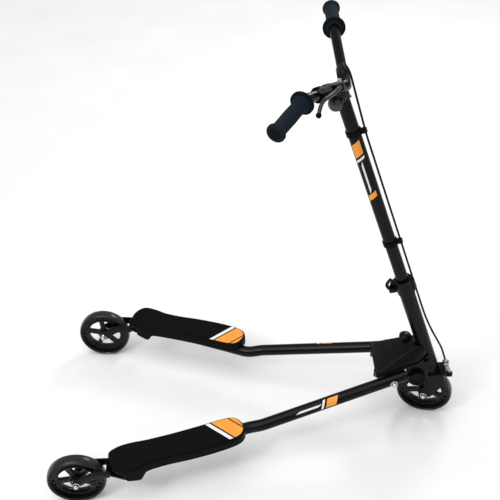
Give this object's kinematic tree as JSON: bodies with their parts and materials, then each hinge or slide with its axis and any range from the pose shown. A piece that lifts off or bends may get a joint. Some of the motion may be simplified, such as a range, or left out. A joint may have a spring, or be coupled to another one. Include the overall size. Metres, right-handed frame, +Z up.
{
  "type": "three-wheel kick scooter",
  "caption": "Three-wheel kick scooter: steered front wheel, telescopic stem with hand brake, and two foot decks on spread arms, each with a swivel caster behind.",
  "frame": {"origin": "on the ground, midway between the front and rear reach of the wheels, on the centre plane", "axes": "+Z up, +X forward, +Y to the rider's left"},
  "size_m": [1.0314, 0.6252, 1.0503],
  "materials": {
    "frame_paint": "semi-gloss black paint",
    "moulded_black": "fine-textured black moulded plastic",
    "deck_grip": "matt black grip surface",
    "polished_chrome": "polished chrome",
    "bright_steel": "bright zinc-plated steel",
    "smoky_tyre": "smoky grey-black polyurethane",
    "black_rim": "black nylon",
    "foam": "slate blue-grey closed-cell foam",
    "grey_alloy": "dark grey cast alloy",
    "brake_rubber": "matt black brake rubber",
    "cable_jacket": "black cable jacket"
  },
  "bodies": {
    "chassis": {"front_yoke": "frame_paint", "headset_cup_lower": "frame_paint", "headset_cup_upper": "frame_paint", "arm_tube_left": "frame_paint", "arm_tube_right": "frame_paint", "arm_bolt_left": "bright_steel", "arm_bolt_right": "bright_steel", "arm_nut_left": "polished_chrome", "arm_nut_right": "polished_chrome", "bolt_cover_left": "moulded_black", "bolt_cover_right": "moulded_black", "deck_left": "moulded_black", "deck_right": "moulded_black", "deck_pad_left": "deck_grip", "deck_pad_right": "deck_grip", "caster_bearing_left": "bright_steel", "caster_bearing_right": "bright_steel"},
    "caster_left": {"caster_fork_left": "frame_paint", "kingpin_left": "bright_steel", "rear_axle_left": "polished_chrome", "rear_axle_nut_left": "polished_chrome"},
    "rear_wheel_left": {"rear_left_tyre": "smoky_tyre", "rear_left_rim": "black_rim", "rear_left_bearings": "bright_steel"},
    "caster_right": {"caster_fork_right": "frame_paint", "kingpin_right": "bright_steel", "rear_axle_right": "polished_chrome", "rear_axle_nut_right": "polished_chrome"},
    "rear_wheel_right": {"rear_right_tyre": "smoky_tyre", "rear_right_rim": "black_rim", "rear_right_bearings": "bright_steel"},
    "steering": {"fork": "frame_paint", "front_axle": "polished_chrome", "front_axle_nut": "polished_chrome", "clamp_collar": "frame_paint", "qr_skewer": "bright_steel", "brake_pin": "bright_steel", "brake_spring": "bright_steel"},
    "front_wheel": {"front_tyre": "smoky_tyre", "front_rim": "black_rim", "front_bearings": "bright_steel"},
    "brake_rocker": {"brake_arm": "frame_paint", "brake_shoe": "brake_rubber"},
    "qr_handle": {"qr_lever": "frame_paint"},
    "stem": {"stem_tube": "frame_paint", "handlebar_core": "polished_chrome", "bar_left": "frame_paint", "bar_right": "frame_paint", "grip_left": "foam", "grip_right": "foam", "lever_bracket": "grey_alloy", "lever_clamp_band": "moulded_black", "lever_pin": "bright_steel", "barrel_adjuster": "polished_chrome", "bell_dome": "polished_chrome", "brake_cable": "cable_jacket", "cable_clip_upper": "moulded_black", "cable_clip_lower": "moulded_black"},
    "hand_lever": {"brake_lever": "grey_alloy"},
    "bell_hammer": {"bell_striker": "grey_alloy"}
  },
  "joints": [
    {"name": "steering_turn", "type": "hinge", "parent": "chassis", "child": "steering", "pos_m": [0.41279, 0, 0.28468], "axis": [-0.3155, 0, 0.9489], "range_deg": [-43.72, 76.28]},
    {"name": "front_wheel_spin", "type": "hinge", "parent": "steering", "child": "front_wheel", "pos_m": [0.44397, 0.01093, 0.07222], "axis": [0.266, 0.9599, 0.0884], "continuous": true},
    {"name": "caster_swivel_left", "type": "hinge", "parent": "chassis", "child": "caster_left", "pos_m": [-0.31397, 0.266, 0.10006], "axis": [0.5, 0, 0.866], "range_deg": [-25, 25]},
    {"name": "rear_wheel_spin_left", "type": "hinge", "parent": "caster_left", "child": "rear_wheel_left", "pos_m": [-0.44378, 0.272, 0.07247], "axis": [0.0526, 0.9982, -0.0304], "continuous": true},
    {"name": "caster_swivel_right", "type": "hinge", "parent": "chassis", "child": "caster_right", "pos_m": [-0.31397, -0.266, 0.10006], "axis": [0.5, 0, 0.866], "range_deg": [-25, 25]},
    {"name": "rear_wheel_spin_right", "type": "hinge", "parent": "caster_right", "child": "rear_wheel_right", "pos_m": [-0.44378, -0.272, 0.07247], "axis": [0.0526, -0.9982, -0.0304], "continuous": true},
    {"name": "stem_slide", "type": "slide", "parent": "steering", "child": "stem", "axis": [-0.3155, 0, 0.9489], "range_m": [-0.105, 0], "deforming": ["brake_cable"]},
    {"name": "qr_lever_open", "type": "hinge", "parent": "steering", "child": "qr_handle", "pos_m": [0.33372, -0.00895, 0.42174], "axis": [0.9109, -0.2803, 0.3028], "range_deg": [0, 95]},
    {"name": "lever_squeeze", "type": "hinge", "parent": "stem", "child": "hand_lever", "pos_m": [0.18251, -0.06942, 0.99064], "axis": [0.1891, -0.3686, -0.9101], "range_deg": [0, 7], "stiffness_Nm_per_rad": 0.8, "springref_deg": -8.59},
    {"name": "brake_rock", "type": "hinge", "parent": "steering", "child": "brake_rocker", "pos_m": [0.48779, -0.00813, 0.14733], "axis": [-0.266, -0.9599, -0.0884], "range_deg": [0, 4], "stiffness_Nm_per_rad": 0.5, "springref_deg": -8.59},
    {"name": "bell_strike", "type": "hinge", "parent": "stem", "child": "bell_hammer", "pos_m": [0.19395, -0.0656, 0.96796], "axis": [-0.5553, -0.8046, 0.2105], "range_deg": [0, 12], "stiffness_Nm_per_rad": 0.05, "springref_deg": -11.46}
  ],
  "couplings": [
    {"joint": "brake_rock", "follows": "lever_squeeze", "ratio": 0.5714}
  ]
}
